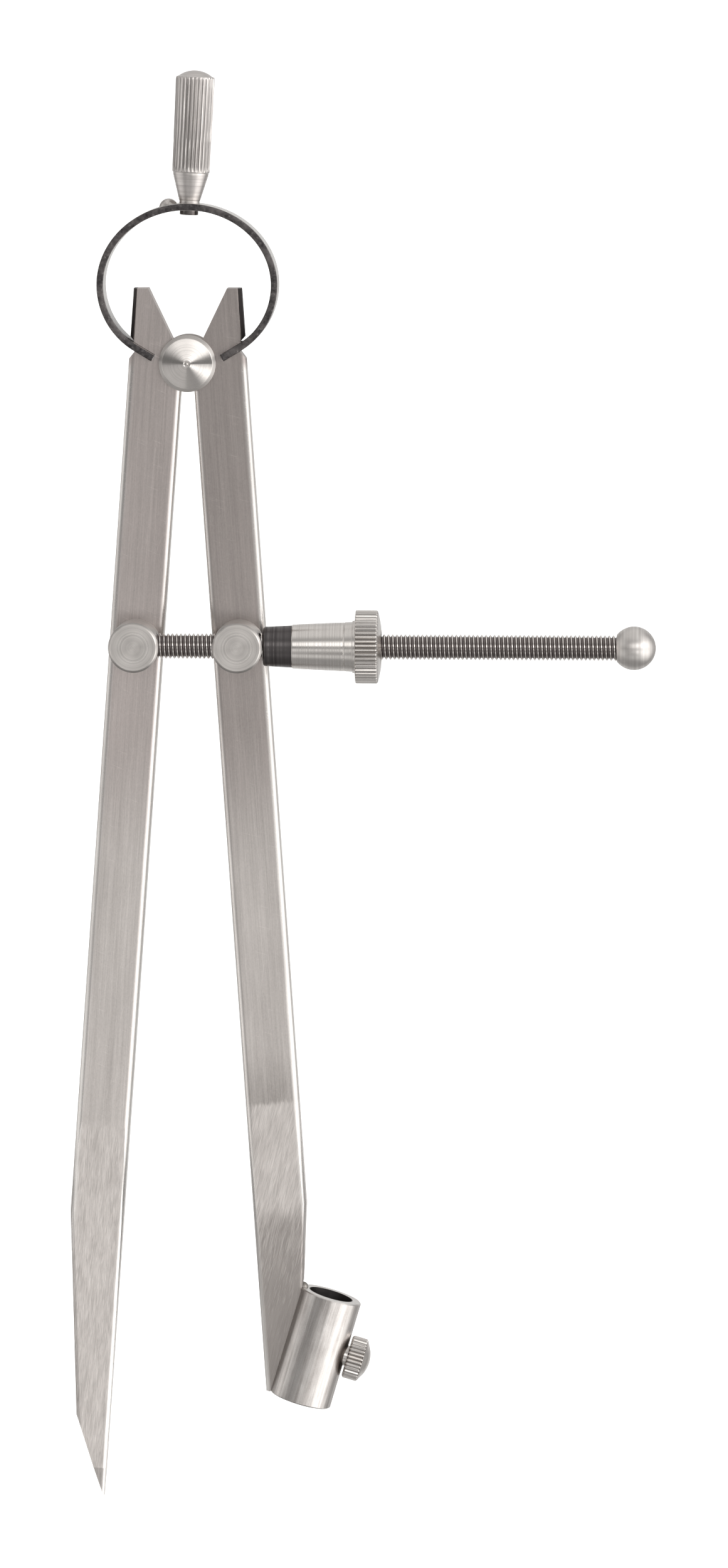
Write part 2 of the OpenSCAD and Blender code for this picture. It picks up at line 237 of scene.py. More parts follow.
def span(ns, ln, v, lo, hi, a=0.0, b=1.0):
    n = ns.new("ShaderNodeMapRange")
    n.inputs["From Min"].default_value = a
    n.inputs["From Max"].default_value = b
    n.inputs["To Min"].default_value = lo
    n.inputs["To Max"].default_value = hi
    ln.new(v, n.inputs["Value"])
    return n.outputs["Result"]


def mixc(ns, ln, fac, a, b):
    n = ns.new("ShaderNodeMix")
    n.data_type = "RGBA"
    if isinstance(fac, (int, float)):
        n.inputs["Factor"].default_value = fac
    else:
        ln.new(fac, n.inputs["Factor"])
    for s, v in (("A", a), ("B", b)):
        i = [k for k in n.inputs if k.name == s and k.type == "RGBA"][0]
        if isinstance(v, tuple):
            i.default_value = (*v, 1)
        else:
            ln.new(v, i)
    return [o for o in n.outputs if o.type == "RGBA"][0]


def shader(ns, ln, color, rough, height=None, bump=0.1, dist=0.00005, metallic=1.0, aniso=0.0, tangent=None, turn=0.0, spec=0.5):
    b = ns.new("ShaderNodeBsdfPrincipled")
    o = ns.new("ShaderNodeOutputMaterial")
    if isinstance(color, tuple):
        b.inputs["Base Color"].default_value = (*color, 1)
    else:
        ln.new(color, b.inputs["Base Color"])
    if isinstance(rough, (int, float)):
        b.inputs["Roughness"].default_value = rough
    else:
        ln.new(rough, b.inputs["Roughness"])
    b.inputs["Metallic"].default_value = metallic
    b.inputs["Anisotropic"].default_value = aniso
    b.inputs["Anisotropic Rotation"].default_value = turn
    b.inputs["Specular IOR Level"].default_value = spec
    if tangent is not None:
        t = ns.new("ShaderNodeTangent")
        t.direction_type = "RADIAL"
        t.axis = tangent
        ln.new(t.outputs[0], b.inputs["Tangent"])
    if height is not None:
        bp = ns.new("ShaderNodeBump")
        bp.inputs["Strength"].default_value = bump
        bp.inputs["Distance"].default_value = dist
        ln.new(height, bp.inputs["Height"])
        ln.new(bp.outputs["Normal"], b.inputs["Normal"])
    ln.new(b.outputs[0], o.inputs["Surface"])
    return b


def brushed(name, dark, light, rough=(0.25, 0.4), loc=(0, 0, 0), rot=(0, 0, 0), size=(0.25, 0.25, 14), bump=0.12, blotch=0.25, scratch=0.5, scratch_rot=(0, 0.35, 0)):
    """Metal brushed along the local Z of a turned frame, with fine streaks, soft blotches and a few scratches."""
    mt, nt, ns, ln = new_mat(name)
    v = mapped(ns, ln, loc, rot, size)
    s1 = noise(ns, ln, v, 1.0, 5, 0.65)
    v2 = mapped(ns, ln, loc, rot, (size[0] * 4, size[1] * 4, size[2] * 2.5))
    s2 = noise(ns, ln, v2, 1.0, 3, 0.5)
    v3 = mapped(ns, ln, loc, rot, (9, 9, 16))
    bl = noise(ns, ln, v3, 1.0, 3, 0.6)
    v4 = mapped(ns, ln, loc, (rot[0] + scratch_rot[0], rot[1] + scratch_rot[1], rot[2] + scratch_rot[2]), (0.16, 0.16, 9))
    sc = noise(ns, ln, v4, 1.0, 1, 0.4)
    sc = span(ns, ln, sc, 0, 1, 0.70, 0.78)
    t = math_node(ns, ln, "MULTIPLY", s1, 0.6)
    t = math_node(ns, ln, "MULTIPLY_ADD", s2, 0.4, t)
    t = span(ns, ln, t, 0, 1, 0.32, 0.68)
    t = math_node(ns, ln, "MULTIPLY_ADD", bl, blotch, math_node(ns, ln, "SUBTRACT", t, blotch / 2))
    t = math_node(ns, ln, "MULTIPLY_ADD", sc, scratch * 0.4, t, clamp=True)
    col = mixc(ns, ln, t, dark, light)
    ro = span(ns, ln, t, rough[1], rough[0])
    h = math_node(ns, ln, "MULTIPLY_ADD", sc, -0.35 * scratch, s1)
    shader(ns, ln, col, ro, h, bump, 0.00004)
    return mt


def turned(name, dark, light, origin, zdir, rough=(0.18, 0.32), ring=0.22, bump=0.12, aniso=0.0, tangent=None, blotch=0.2, wobble=0.0, rim=None, axial=None):
    """Metal turned on a lathe: rings round an axis on its faces, and fine lines round its sides."""
    mt, nt, ns, ln = new_mat(name)
    z = Vector(zdir).normalized()
    q = Vector((0, 0, 1)).rotation_difference(z).to_euler()
    v = mapped(ns, ln, P(*origin), tuple(q), (1, 1, 1))
    sx = ns.new("ShaderNodeSeparateXYZ")
    ln.new(v, sx.inputs[0])
    r2 = math_node(ns, ln, "MULTIPLY", sx.outputs[0], sx.outputs[0])
    r2 = math_node(ns, ln, "MULTIPLY_ADD", sx.outputs[1], sx.outputs[1], r2)
    r = math_node(ns, ln, "SQRT", r2)
    an = math_node(ns, ln, "ARCTAN2", sx.outputs[1], sx.outputs[0])
    cb = ns.new("ShaderNodeCombineXYZ")
    ln.new(math_node(ns, ln, "DIVIDE", r, ring), cb.inputs[0])
    ln.new(math_node(ns, ln, "DIVIDE", sx.outputs[2], ring * 1.3), cb.inputs[1])
    ln.new(math_node(ns, ln, "MULTIPLY", math_node(ns, ln, "ABSOLUTE", an), 0.06 + wobble), cb.inputs[2])
    rg = noise(ns, ln, cb.outputs[0], 1.0, 4, 0.6)
    if axial:
        ax = noise(ns, ln, mapped(ns, ln, P(*origin), tuple(q), (0.45, 0.45, 6)), 1.0, 4, 0.65)
        band_ax = math_node(ns, ln, "MULTIPLY", smooth(ns, ln, sx.outputs[2], axial[0] - 0.1, axial[0] + 0.1), smooth(ns, ln, sx.outputs[2], axial[1] + 0.1, axial[1] - 0.1))
        mf = ns.new("ShaderNodeMix")
        ln.new(band_ax, mf.inputs[0])
        ln.new(rg, mf.inputs[2])
        ln.new(ax, mf.inputs[3])
        rg = mf.outputs[0]
    v3 = mapped(ns, ln, (0, 0, 0), (0, 0, 0), (4.5, 4.5, 4.5))
    bl = noise(ns, ln, v3, 1.0, 4, 0.6)
    v4 = mapped(ns, ln, (0, 0, 0), (0.3, 0.5, 0.2), (0.35, 0.35, 0.35))
    fine = noise(ns, ln, v4, 1.0, 2, 0.5)
    t = span(ns, ln, rg, 0, 1, 0.3, 0.7)
    t = math_node(ns, ln, "MULTIPLY_ADD", bl, blotch * 2, math_node(ns, ln, "SUBTRACT", t, blotch))
    t = math_node(ns, ln, "MULTIPLY_ADD", fine, 0.12, math_node(ns, ln, "SUBTRACT", t, 0.06), clamp=True)
    col = mixc(ns, ln, t, dark, light)
    if axial:
        # darker roots of the flutes and teeth: painted shade in the recesses
        root = math_node(ns, ln, "MULTIPLY", band_ax, smooth(ns, ln, r, axial[2] + 0.02, axial[2] - 0.2))
        col = mixc(ns, ln, math_node(ns, ln, "MULTIPLY", root, 0.62), col, (0.17, 0.158, 0.152))
    if rim:
        # darker outer rim: painted shade standing in for the dark reflection and shadow on the chamfer
        col = mixc(ns, ln, math_node(ns, ln, "MULTIPLY", smooth(ns, ln, r, rim[0] - 0.05, rim[0] + 0.12), rim[1]), col, (0.22, 0.205, 0.197))
    ro = span(ns, ln, t, rough[1], rough[0])
    if rim:
        ro = math_node(ns, ln, "MULTIPLY_ADD", smooth(ns, ln, r, rim[0] - 0.1, rim[0] + 0.15), rim[2], ro)
    shader(ns, ln, col, ro, rg, bump, 0.00004, aniso=aniso, tangent=tangent, turn=0.25)
    return mt


def smooth(ns, ln, v, a, b):
    n = ns.new("ShaderNodeMapRange")
    n.interpolation_type = "SMOOTHSTEP"
    n.inputs["From Min"].default_value = a
    n.inputs["From Max"].default_value = b
    ln.new(v, n.inputs["Value"])
    return n.outputs["Result"]


LEG_IN, LEG_OUT = LEG_CX - LEG_W / 2, LEG_CX + LEG_W / 2


def leg_mat(side):
    """Flat bar brushed along its length, with ground flats at the foot and blackened outer edges on the horn."""
    name = "right_leg_steel" if side > 0 else "left_leg_steel"
    mt, nt, ns, ln = new_mat(name)
    mul = lambda a, b: math_node(ns, ln, "MULTIPLY", a, b)
    add = lambda a, b: math_node(ns, ln, "ADD", a, b)
    mad = lambda a, b, c, **k: math_node(ns, ln, "MULTIPLY_ADD", a, b, c, **k)
    v = mapped(ns, ln, P(0, 0, 0), (0, -side * ANG, 0), (1, 1, 1))
    sep = ns.new("ShaderNodeSeparateXYZ")
    ln.new(v, sep.inputs[0])
    x = mul(sep.outputs[0], float(side))
    y, z = sep.outputs[1], sep.outputs[2]

    def field(sx, sy, sz, detail, rough, turn=0.0, dist=0.0):
        vv = mapped(ns, ln, P(0, 0, 0), (0, -side * ANG + turn, 0), (sx, sy, sz))
        return noise(ns, ln, vv, 1.0, detail, rough, dist)

    fine = field(0.16, 0.4, 16, 4, 0.7)
    mid = field(0.9, 1.2, 40, 3, 0.55)
    big = field(7, 7, 22, 3, 0.6)
    scr = smooth(ns, ln, field(0.13, 0.3, 8, 1, 0.4, 0.16, 0.3), 0.69, 0.76)
    scr2 = smooth(ns, ln, field(0.15, 0.3, 6, 1, 0.4, -1.25, 0.5), 0.70, 0.765)
    scr = math_node(ns, ln, "MAXIMUM", scr, scr2)
    pit = smooth(ns, ln, field(0.35, 0.35, 0.35, 1, 0.5), 0.73, 0.80)
    edge_z = -177.2 if side > 0 else -183.0
    wob = field(0.5, 2.0, 6, 3, 0.6)
    zz = mad(wob, 5.0, add(z, -2.5))
    ground = smooth(ns, ln, zz, edge_z + 0.6, edge_z - 0.6)
    turn = 0.30 if side > 0 else 0.02
    g1 = field(0.21 if side > 0 else 0.19, 0.5, 4.6 if side > 0 else 3.4, 4, 0.68, turn, 0.55)
    g2 = field(1.8, 2.0, 9, 2, 0.5, turn)
    # tone: 0 dark to 1 light
    s1 = span(ns, ln, fine, 0, 1, 0.30, 0.70)
    soft = field(2.6, 2.0, 60, 3, 0.5)
    grain = field(0.24, 0.24, 0.5, 2, 0.6)
    tone = mad(span(ns, ln, grain, -0.5, 0.5, 0.3, 0.7), 0.16, mad(s1, 0.36, mad(mid, 0.34, mad(soft, 0.42, mad(big, 0.38, -0.23)))))
    upper = smooth(ns, ln, mad(big, 14.0, add(z, -7.0)), -124.0, -86.0)
    hair = smooth(ns, ln, field(0.10, 0.4, 46, 1, 0.4, -0.01), 0.66, 0.74)
    tone = mad(hair, 0.22, mad(scr, 0.34, mad(pit, -0.26, tone)))
    if side > 0:
        # heat-darkened band just above the ground flat
        heat = mul(smooth(ns, ln, mad(wob, 8.0, add(z, -4.0)), -163.0, -176.0), 1.0)
        tone = mad(mul(heat, span(ns, ln, field(0.6, 1.0, 14, 3, 0.6), 0.4, 1.0, 0.3, 0.7)), -0.42, tone)
    gt = mad(span(ns, ln, g1, 0, 1, 0.34, 0.66), 0.66, mad(g2, 0.6, -0.04 if side > 0 else -0.02))
    if side > 0:
        low = smooth(ns, ln, mad(g2, 7.0, add(z, -3.5)), -199.2, -208.0)
        gt = mad(low, -0.40, gt)
        gt = mad(smooth(ns, ln, z, -206.0, -236.0), -0.42, gt)
    else:
        gt = mad(smooth(ns, ln, z, -256.0, -273.0), -0.08, gt)
    t = ns.new("ShaderNodeMix")
    ln.new(ground, t.inputs[0])
    ln.new(tone, t.inputs[2])
    ln.new(gt, t.inputs[3])
    t = math_node(ns, ln, "ADD", t.outputs[0], 0.0, clamp=True)
    k = 0.965 if side > 0 else 1.005
    col = mixc(ns, ln, t, tuple(k * c for c in (0.39, 0.360, 0.341)), tuple(min(0.95, k * c) for c in (0.77, 0.722, 0.690)))
    # darker upper half: painted shade standing in for the darker reflection on the upper legs
    upper_painted_shade = mul(upper, mad(big, 0.3, 0.85))
    col = mixc(ns, ln, mul(upper_painted_shade, 0.85), col, mixc(ns, ln, t, (0.24, 0.211, 0.200) if side > 0 else (0.32, 0.283, 0.270), (0.51, 0.455, 0.434) if side > 0 else (0.66, 0.592, 0.567)))
    if side > 0:
        foot = mul(ground, mul(low, span(ns, ln, g2, 0.10, 0.30, 0.3, 0.7)))
        col = mixc(ns, ln, foot, col, mixc(ns, ln, span(ns, ln, g1, 0, 1, 0.36, 0.64), (0.122, 0.108, 0.102), (0.365, 0.328, 0.311)))
    # long edges: a painted highlight in the colour for the rounded edges' reflection, and lower roughness where they
    # are rubbed
    edge_wear_and_highlight = math_node(ns, ln, "MAXIMUM", smooth(ns, ln, x, 12.2, 13.1), smooth(ns, ln, x, 2.35, 1.6))
    edge_wear_and_highlight = mul(edge_wear_and_highlight, smooth(ns, ln, z, 0.0, -3.0))
    edge_wear_and_highlight = mul(edge_wear_and_highlight, span(ns, ln, big, 0.6, 1.0, 0.3, 0.6))
    col = mixc(ns, ln, mul(edge_wear_and_highlight, 0.8), col, (0.86, 0.83, 0.80))
    # blackened outer edge of the horn
    horn = mul(smooth(ns, ln, mad(wob, 0.35, add(x, -0.17)), 12.98, 13.12), smooth(ns, ln, z, 2.6, 3.3))
    horn = mul(horn, smooth(ns, ln, z, 17.3, 16.6))
    horn = mul(horn, 0.96)
    col = mixc(ns, ln, horn, col, (0.035, 0.031, 0.031))
    ro = mad(t, -0.10, 0.40)
    ro = mad(edge_wear_and_highlight, -0.12, mad(ground, 0.03, mad(horn, 0.1, ro)))
    h = mad(fine, 1.0, mul(scr, -0.5))
    hm = ns.new("ShaderNodeMix")
    ln.new(ground, hm.inputs[0])
    ln.new(h, hm.inputs[2])
    ln.new(mul(g1, 1.6), hm.inputs[3])
    # eased edges of the ground flats: distance to the nearest long edge
    if side > 0:
        kz, ka = -202.0, math.radians(6.2)
    else:
        kz, ka = -204.0, math.radians(5.5)
    bend = mad(x, math.cos(ka), mad(add(z, -kz), -math.sin(ka), -LEG_OUT * math.cos(ka)))
    bend = math_node(ns, ln, "MAXIMUM", add(x, -LEG_OUT), bend)
    dist_e = math_node(ns, ln, "MINIMUM", mul(bend, -1.0), add(x, -LEG_IN))
    e = math_node(ns, ln, "MAXIMUM", mad(dist_e, -1.0, 0.95), 0.0)
    ease = mul(smooth(ns, ln, z, edge_z - 1.0, edge_z - 26.0), mul(mul(e, e), -0.62))
    eb = ns.new("ShaderNodeBump")
    eb.inputs["Strength"].default_value = 1.0
    eb.inputs["Distance"].default_value = 0.001
    ln.new(ease, eb.inputs["Height"])
    sh = shader(ns, ln, col, ro, hm.outputs[0], 0.16, 0.00004, aniso=0.8, tangent="Z")
    ln.new(eb.outputs["Normal"], sh.inputs["Normal"].links[0].from_node.inputs["Normal"])
    return mt


M = {}
M["left_leg"] = leg_mat(-1)
M["right_leg"] = leg_mat(1)
M["disc"] = turned("disc_steel", (0.56, 0.53, 0.505), (0.68, 0.645, 0.62), (0, 0, 0), (0, -1, 0), rough=(0.17, 0.22), ring=0.16, bump=0.05, aniso=0.9, tangent="Y", rim=(5.95, 0.22, 0.26))
M["stud_l"] = turned("stud_steel_left", (0.47, 0.445, 0.425), (0.70, 0.665, 0.635), (-STUD_X, 0, STUD_Z), (0, -1, 0), rough=(0.26, 0.36), ring=0.3, bump=0.16, aniso=0.7, tangent="Y", rim=(5.5, 0.45, 0.05))
M["stud_r"] = turned("stud_steel_right", (0.47, 0.445, 0.425), (0.70, 0.665, 0.635), (STUD_X, 0, STUD_Z), (0, -1, 0), rough=(0.26, 0.36), ring=0.3, bump=0.16, aniso=0.7, tangent="Y", rim=(5.5, 0.45, 0.05))
M["ball"] = turned("ball_steel", (0.50, 0.47, 0.45), (0.70, 0.67, 0.645), (BALL_X, SCREW_Y, STUD_Z), (1, 0, 0), rough=(0.34, 0.44), ring=0.4, bump=0.05, aniso=0.4, tangent="X", blotch=0.35)
M["nut"] = turned("nut_steel", (0.54, 0.51, 0.485), (0.72, 0.685, 0.655), (0, SCREW_Y, STUD_Z), (1, 0, 0), rough=(0.2, 0.32), ring=0.3, bump=0.04, aniso=0.5, tangent="X", axial=(RIM_X + 0.1, RIM_X + 5.3, 8.5))
M["core"] = turned("black_steel", (0.05, 0.045, 0.046), (0.15, 0.138, 0.137), (0, SCREW_Y, STUD_Z), (1, 0, 0), rough=(0.25, 0.45), ring=0.35)
M["handle"] = turned("handle_steel", (0.46, 0.43, 0.415), (0.70, 0.665, 0.64), HB, (math.sin(LEAN), 0, math.cos(LEAN)), rough=(0.26, 0.38), ring=0.22, bump=0.10, axial=(7.3, 29.6, 4.40))
M["rivet_end"] = turned("rivet_end_steel", (0.10, 0.09, 0.087), (0.26, 0.235, 0.225), HB, (math.sin(LEAN), 0, math.cos(LEAN)), ring=0.3)
M["rivet"] = turned("rivet_steel", (0.4, 0.375, 0.36), (0.6, 0.565, 0.54), HB, (math.sin(LEAN), 0, math.cos(LEAN)), ring=0.3)
CL_AX = TUBE_OUT
CL_O = Vector(MOUTH) - TUBE_UP * 13.2
M["clamp"] = turned("clamp_steel", (0.52, 0.49, 0.465), (0.74, 0.70, 0.67), tuple(CL_O), tuple(CL_AX), rough=(0.17, 0.30), ring=0.3, axial=(8.0, 11.6, 5.06))
M["braze"] = turned("braze_metal", (0.16, 0.145, 0.135), (0.46, 0.43, 0.40), legp(11.9, 0, -221.9), (0, -1, 0), rough=(0.25, 0.5), ring=0.4)


def screw_mat():
    """Cut thread: roots painted dark as shade and crests painted bright as a highlight."""
    mt, nt, ns, ln = new_mat("screw_steel")
    v = mapped(ns, ln, P(0, SCREW_Y, STUD_Z), (0, 0, 0), (1, 1, 1))
    sep = ns.new("ShaderNodeSeparateXYZ")
    ln.new(v, sep.inputs[0])
    r2 = math_node(ns, ln, "MULTIPLY", sep.outputs[1], sep.outputs[1])
    r = math_node(ns, ln, "SQRT", math_node(ns, ln, "MULTIPLY_ADD", sep.outputs[2], sep.outputs[2], r2))
    n1 = noise(ns, ln, mapped(ns, ln, (0, 0, 0), (0, 0, 0), (0.9, 1.4, 1.4)), 1.0, 4, 0.6)
    n2 = noise(ns, ln, mapped(ns, ln, (0, 0, 0), (0, 0, 0), (0.12, 0.9, 0.9)), 1.0, 2, 0.5)
    t = smooth(ns, ln, math_node(ns, ln, "MULTIPLY_ADD", n1, 0.18, math_node(ns, ln, "SUBTRACT", r, 0.09)), 2.58, 2.96)
    # painted shade in the thread roots and a painted highlight on the crests
    base = mixc(ns, ln, t, (0.235, 0.208, 0.202), (0.78, 0.74, 0.71))
    col = mixc(ns, ln, span(ns, ln, n1, 0.0, 0.35, 0.4, 0.8), base, (0.34, 0.31, 0.295))
    ro = math_node(ns, ln, "MULTIPLY_ADD", t, -0.10, span(ns, ln, n2, 0.26, 0.38))
    shader(ns, ln, col, ro, n2, 0.1, 0.00003)
    return mt


M["screw"] = screw_mat()


def tube_mat():
    """Drawn tube: streaks along its length, a grainy skin, and a bore painted dark as shade."""
    mt, nt, ns, ln = new_mat("tube_steel")
    org, rot = P(*MOUTH), (0, TUBE_A, 0)
    v = mapped(ns, ln, org, rot, (1, 1, 1))
    sep = ns.new("ShaderNodeSeparateXYZ")
    ln.new(v, sep.inputs[0])
    r2 = math_node(ns, ln, "MULTIPLY", sep.outputs[0], sep.outputs[0])
    r = math_node(ns, ln, "SQRT", math_node(ns, ln, "MULTIPLY_ADD", sep.outputs[1], sep.outputs[1], r2))
    s1 = noise(ns, ln, mapped(ns, ln, org, rot, (0.22, 0.22, 9)), 1.0, 5, 0.65)
    s2 = noise(ns, ln, mapped(ns, ln, org, rot, (1.0, 1.0, 26)), 1.0, 3, 0.55)
    bl = noise(ns, ln, mapped(ns, ln, org, rot, (3.2, 3.2, 5)), 1.0, 4, 0.6)
    gr = noise(ns, ln, mapped(ns, ln, org, rot, (0.20, 0.20, 0.24)), 1.0, 3, 0.6)
    t = span(ns, ln, s1, 0, 0.42, 0.3, 0.7)
    t = math_node(ns, ln, "ADD", t, span(ns, ln, s2, 0, 0.52, 0.32, 0.68))
    t = math_node(ns, ln, "ADD", t, span(ns, ln, bl, -0.14, 0.14, 0.3, 0.7))
    t = math_node(ns, ln, "ADD", t, span(ns, ln, gr, -0.09, 0.09, 0.3, 0.7), clamp=True)
    col = mixc(ns, ln, t, (0.38, 0.347, 0.330), (0.78, 0.748, 0.72))
    # bore painted dark: painted shade inside the tube
    bore = smooth(ns, ln, r, 5.5, 5.32)
    col = mixc(ns, ln, bore, col, (0.105, 0.096, 0.094))
    rim = math_node(ns, ln, "MULTIPLY", smooth(ns, ln, sep.outputs[2], -0.3, -0.05), smooth(ns, ln, r, 5.3, 5.5))
    col = mixc(ns, ln, math_node(ns, ln, "MULTIPLY", rim, 0.6), col, (0.80, 0.775, 0.75))
    ro = math_node(ns, ln, "MULTIPLY_ADD", t, -0.08, 0.34)
    ro = math_node(ns, ln, "MULTIPLY_ADD", bore, 0.12, ro)
    h = math_node(ns, ln, "MULTIPLY_ADD", gr, 0.9, s1)
    shader(ns, ln, col, ro, h, 0.22, 0.00005)
    return mt


M["tube"] = tube_mat()


def spring_mat():
    """Tempered strip: bright rolled faces and dark, slightly rough sheared edges."""
    mt, nt, ns, ln = new_mat("spring_steel")
    v = mapped(ns, ln, (0, 0, 0), (0, 0, 0), (2.2, 0.35, 2.2))
    s = noise(ns, ln, v, 1.0, 5, 0.6)
    v2 = mapped(ns, ln, (0, 0, 0), (0, 0, 0), (0.8, 0.8, 0.8))
    s2 = noise(ns, ln, v2, 1.0, 4, 0.65)
    sep = ns.new("ShaderNodeSeparateXYZ")
    tc = ns.new("ShaderNodeTexCoord")
    ln.new(tc.outputs["Object"], sep.inputs[0])
    ay = math_node(ns, ln, "ABSOLUTE", sep.outputs[1])
    edge = span(ns, ln, ay, 0, 1, 0.00470, 0.00480)
    edge = math_node(ns, ln, "MULTIPLY", edge, 1.0, clamp=True)
    face = mixc(ns, ln, span(ns, ln, s, 0, 1, 0.3, 0.7), (0.62, 0.60, 0.58), (0.82, 0.80, 0.775))
    dark = mixc(ns, ln, span(ns, ln, s2, 0, 1, 0.3, 0.75), (0.03, 0.027, 0.028), (0.12, 0.112, 0.112))
    # strip faces darker near the ends: painted shade and painted dark reflection where the strip enters the slots
    end_painted_shade = smooth(ns, ln, sep.outputs[2], -(GZ - 16.0) / 1000, -(GZ - 7.0) / 1000)
    face = mixc(ns, ln, math_node(ns, ln, "MULTIPLY", end_painted_shade, span(ns, ln, s2, 0.99, 0.55, 0.3, 0.7)), face, (0.13, 0.118, 0.116))
    s3 = noise(ns, ln, mapped(ns, ln, (0, 0, 0), (0, 0, 0), (3.4, 3.4, 2.6)), 1.0, 4, 0.65)
    dark = mixc(ns, ln, span(ns, ln, s3, 0.0, 0.8, 0.42, 0.72), dark, (0.20, 0.182, 0.178))
    fleck = smooth(ns, ln, s2, 0.58, 0.72)
    dark = mixc(ns, ln, math_node(ns, ln, "MULTIPLY", fleck, 0.6), dark, (0.36, 0.335, 0.325))
    col = mixc(ns, ln, edge, face, dark)
    ro = math_node(ns, ln, "MULTIPLY_ADD", edge, 0.12, span(ns, ln, s2, 0.22, 0.36))
    h = math_node(ns, ln, "MULTIPLY_ADD", s2, 0.5, s)
    shader(ns, ln, col, ro, h, 0.15, 0.00005)
    return mt


M["spring"] = spring_mat()

# ------------------------------------------------------------------ CAD nodes that stay
for node, key in (("left_leg", "left_leg"), ("right_leg", "right_leg"), ("pencil_tube", "tube"), ("fulcrum_front_disc", "disc"),
                  ("fulcrum_roller", "rivet"), ("fulcrum_rear_disc", "disc"), ("left_stud", "stud_l"), ("left_stud_washer", "stud_l"),
                  ("right_stud", "stud_r"), ("right_stud_washer", "stud_r"), ("end_ball", "ball"), ("nut_core", "core"),
                  ("clamp_screw_shank", "clamp"), ("side_rivet", "rivet"), ("handle_rivet", "rivet_end"), ("braze_bead", "braze")):
    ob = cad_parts[node]
    for s in ob.material_slots:
        s.material = M[key]

# ------------------------------------------------------------------ adjusting screw with its helix
def helix(name, x0, x1, r, root, pitch, mat, n=40):
    m = axes((0, SCREW_Y, STUD_Z), (1, 0, 0))
    phases = [(0.0, root), (0.10, root), (0.40, r), (0.62, r), (0.92, root)]
    rows = []
    k0 = int(math.floor(x0 / pitch)) - 2
    k1 = int(math.ceil(x1 / pitch)) + 2
    bm = bmesh.new()
    for k in range(k0, k1):
        for ph, rr in phases:
            ring = []
            for j in range(n):
                a = 2 * math.pi * j / n
                ring.append(bm.verts.new(m @ Vector((rr * math.cos(a), rr * math.sin(a), (k + ph + j / n) * pitch))))
            rows.append(ring)
    q = len(phases)
    for i in range(len(rows) - 1):
        for j in range(n):
            if j < n - 1:
                bm.faces.new((rows[i][j], rows[i][j + 1], rows[i + 1][j + 1], rows[i + 1][j]))
            elif i + 1 + q < len(rows):
                bm.faces.new((rows[i][j], rows[i + q][0], rows[i + 1 + q][0], rows[i + 1][j]))
    for x, sgn in ((x0, -1), (x1, 1)):
        co = m @ Vector((0, 0, x))
        no = Vector((sgn, 0, 0))
        bmesh.ops.bisect_plane(bm, geom=bm.verts[:] + bm.edges[:] + bm.faces[:], plane_co=co, plane_no=no, clear_outer=True, dist=1e-8)
    bmesh.ops.remove_doubles(bm, verts=bm.verts, dist=2e-7)
    edges = [e for e in bm.edges if e.is_boundary]
    bmesh.ops.holes_fill(bm, edges=edges, sides=0)
    return finish_mesh(name, bm, mat, 40)


screw = helix("adjusting_screw_thread", -STUD_X - 4.4, BALL_X - 3.9, 3.0, 2.45, 1.0, M["screw"])
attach(screw, "spindle")
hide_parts("adjusting_screw")

# ------------------------------------------------------------------ adjusting nut sleeve
def tooth(n, depth, lo, hi, sharp=1.0):
    """Radius change for n straight teeth between the heights lo and hi."""
    def f(r, h, a):
        if h < lo or h > hi:
            return r
        p = (a * n / (2 * math.pi)) % 1.0
        w = abs(2 * p - 1)                       # 0 at the valley's middle, 1 at the crest
        w = min(1.0, max(0.0, (w - 0.12) / 0.68)) ** sharp
        return r - depth * (1 - w)
    return f


NR = 8.63
prof = [(4.25, HUB_X + 0.03), (5.0, HUB_X + 0.03), (5.2, HUB_X + 0.25), (5.42, HUB_X + 4.5, 0.02), (5.76, HUB_X + 12.25, 0.02), (5.68, HUB_X + 12.4, 0.02),
        (5.8, HUB_X + 12.55, 0.02), (5.88, HUB_X + 14.2), (5.88, HUB_X + 14.32, 0.02), (6.2, HUB_X + 14.34), (6.2, RIM_X, 0.02),
        (NR - 0.3, RIM_X, 0.05), (NR - 0.04, RIM_X + 0.12, 0.05), (NR, RIM_X + 0.3, 0.05), (NR, RIM_X + 5.0, 0.05), (NR - 0.12, RIM_X + 5.22, 0.05), (7.95, RIM_X + 5.42, 0.1),
        (7.2, RIM_X + 5.6, 0.4), (6.2, RIM_X + 5.84, 0.5), (5.2, RIM_X + 6.0, 0.5), (4.3, RIM_X + 6.08, 0.1), (4.25, NUT_END - 0.4)]
teeth50 = tooth(50, 0.42, RIM_X + 0.2, RIM_X + 5.3)
sleeve = lathe("nut_sleeve_knurled", round_profile(prof, 0.12, 3), axes((0, SCREW_Y, STUD_Z), (1, 0, 0)), M["nut"], n=400, mod=teeth50, closed=True, smooth=28)
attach(sleeve, "nut")
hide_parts("nut_sleeve")

# ------------------------------------------------------------------ handle
H0 = 7.3
def handle_mod(r, h, a):
    if h < H0 + 0.05 or h > H0 + 22.35:
        return r
    p = (a * 30 / (2 * math.pi) + 0.04 * math.sin(h * 0.21)) % 1.0
    c = abs(2 * p - 1)
    c = min(1.0, c / 0.66)
    d = math.sqrt(max(0.0, 1 - c * c)) * 0.27
    fade = min(1.0, (h - H0) / 0.7) * min(1.0, (H0 + 22.35 - h) / 0.5)
    return r - d * fade


